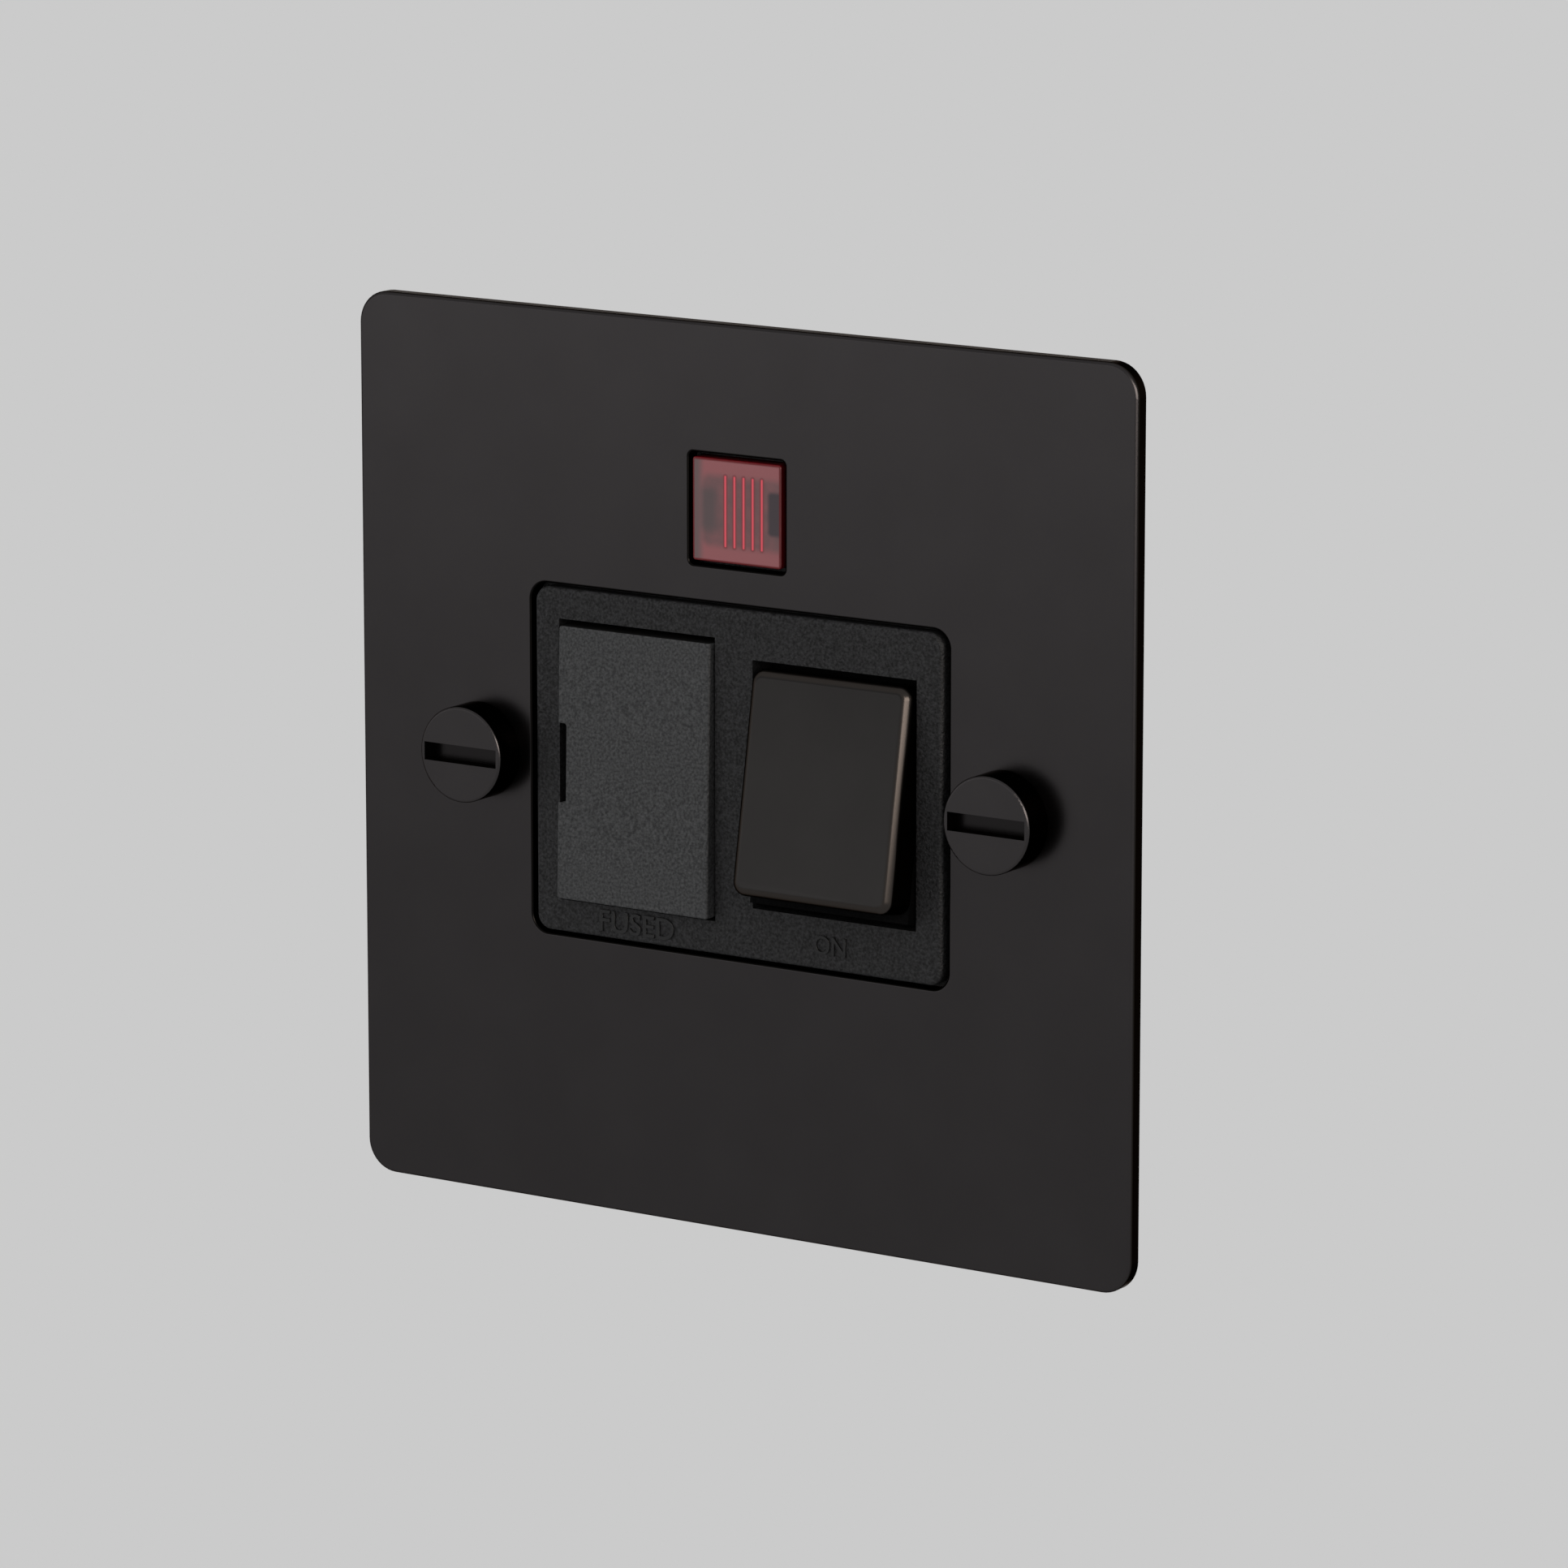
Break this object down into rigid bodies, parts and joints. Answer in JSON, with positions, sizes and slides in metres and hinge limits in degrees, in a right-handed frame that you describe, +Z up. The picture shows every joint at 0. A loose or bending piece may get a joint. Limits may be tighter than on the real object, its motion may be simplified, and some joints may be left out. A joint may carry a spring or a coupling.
{
  "type": "fused spur unit",
  "caption": "Square flat-plate fused spur unit with a rocker switch, a pull-out fuse carrier and a neon lens, held to a wall box by slotted screws.",
  "frame": {"origin": "centre of the front plate's back face, on the wall plane, midway between the fixing screws", "axes": "+X right, +Y into the wall, +Z up; the face of the unit looks along -Y"},
  "size_m": [0.0886, 0.0289, 0.0886],
  "materials": {
    "smoked_bronze": "satin smoked bronze",
    "black_moulding": "fine-grained moulding",
    "carrier_moulding": "leather-grained moulding",
    "base_moulding": "moulded thermoset",
    "red_lens": "clear red",
    "lamp_glass": "clear glass",
    "lead_insulation": "smooth sleeve",
    "resistor_coating": "lacquered",
    "ceramic": "glazed ceramic",
    "plated_caps": "nickel plate",
    "clip_metal": "rolled copper alloy",
    "bar_metal": "rolled brass",
    "silver_tips": "silver",
    "terminal_brass": "machined brass",
    "plated_steel": "zinc plated",
    "spring_steel": "drawn wire",
    "plunger_nylon": "smooth nylon"
  },
  "bodies": {
    "housing": {"base_screw_lower": "plated_steel", "base_screw_upper": "plated_steel", "earth_leaf": "bar_metal", "earth_strap": "bar_metal", "fixed_contact_line": "bar_metal", "fixed_contact_neutral": "bar_metal", "fixed_tip_line": "silver_tips", "fixed_tip_neutral": "silver_tips", "fixing_screw_left": "smoked_bronze", "fixing_screw_right": "smoked_bronze", "front_moulding": "black_moulding", "front_plate": "smoked_bronze", "fulcrum_line": "bar_metal", "fulcrum_neutral": "bar_metal", "fuse_clip_lower": "clip_metal", "fuse_clip_upper": "clip_metal", "neon_lamp": "lamp_glass", "neon_lead_line": "lead_insulation", "neon_lead_neutral": "lead_insulation", "neon_lens": "red_lens", "neon_resistor": "resistor_coating", "plate_pillar_lower": "terminal_brass", "plate_pillar_upper": "terminal_brass", "rear_base": "base_moulding", "resistor_lead": "lead_insulation", "rocker_pivot_pin": "plated_steel", "terminal_earth_in": "terminal_brass", "terminal_earth_out": "terminal_brass", "terminal_line_in": "terminal_brass", "terminal_line_out": "terminal_brass", "terminal_neutral_in": "terminal_brass", "terminal_neutral_out": "terminal_brass", "terminal_screw_earth_in": "plated_steel", "terminal_screw_earth_out": "plated_steel", "terminal_screw_line_in": "plated_steel", "terminal_screw_line_out": "plated_steel", "terminal_screw_neutral_in": "plated_steel", "terminal_screw_neutral_out": "plated_steel"},
    "rocker": {"rocker_cap": "smoked_bronze", "rocker_carrier": "black_moulding", "spring_line": "spring_steel", "spring_neutral": "spring_steel"},
    "plunger_line_pin": {"plunger_line": "plunger_nylon"},
    "plunger_neutral_pin": {"plunger_neutral": "plunger_nylon"},
    "see_saw_line": {"moving_contact_line": "clip_metal", "moving_tip_line": "silver_tips"},
    "see_saw_neutral": {"moving_contact_neutral": "clip_metal", "moving_tip_neutral": "silver_tips"},
    "fuse_drawer": {"fuse_carrier": "carrier_moulding", "fuse_barrel": "ceramic", "fuse_cap_upper": "plated_caps", "fuse_cap_lower": "plated_caps"}
  },
  "joints": [
    {"name": "rocker_hinge", "type": "hinge", "parent": "housing", "child": "rocker", "pos_m": [0.0112, 0.0005, 0.00017], "axis": [1, 0, 0], "range_deg": [0, 20]},
    {"name": "line_contact_hinge", "type": "hinge", "parent": "housing", "child": "see_saw_line", "pos_m": [0.0068, 0.01314, 0.00017], "axis": [1, 0, 0], "range_deg": [-18, 0]},
    {"name": "neutral_contact_hinge", "type": "hinge", "parent": "housing", "child": "see_saw_neutral", "pos_m": [0.0156, 0.01314, 0.00017], "axis": [1, 0, 0], "range_deg": [-18, 0]},
    {"name": "plunger_line_slide", "type": "slide", "parent": "rocker", "child": "plunger_line_pin", "axis": [0, -0.9848, 0.1736], "range_m": [0, 0.0006], "stiffness_N_per_m": 400, "springref_m": -0.0008, "deforming": ["spring_line"]},
    {"name": "plunger_neutral_slide", "type": "slide", "parent": "rocker", "child": "plunger_neutral_pin", "axis": [0, -0.9848, 0.1736], "range_m": [0, 0.0006], "stiffness_N_per_m": 400, "springref_m": -0.0008, "deforming": ["spring_neutral"]},
    {"name": "fuse_drawer_slide", "type": "slide", "parent": "housing", "child": "fuse_drawer", "axis": [0, -1, 0], "range_m": [0, 0.0125]}
  ],
  "couplings": [
    {"joint": "line_contact_hinge", "follows": "rocker_hinge", "ratio": -0.9},
    {"joint": "neutral_contact_hinge", "follows": "rocker_hinge", "ratio": -0.9}
  ]
}
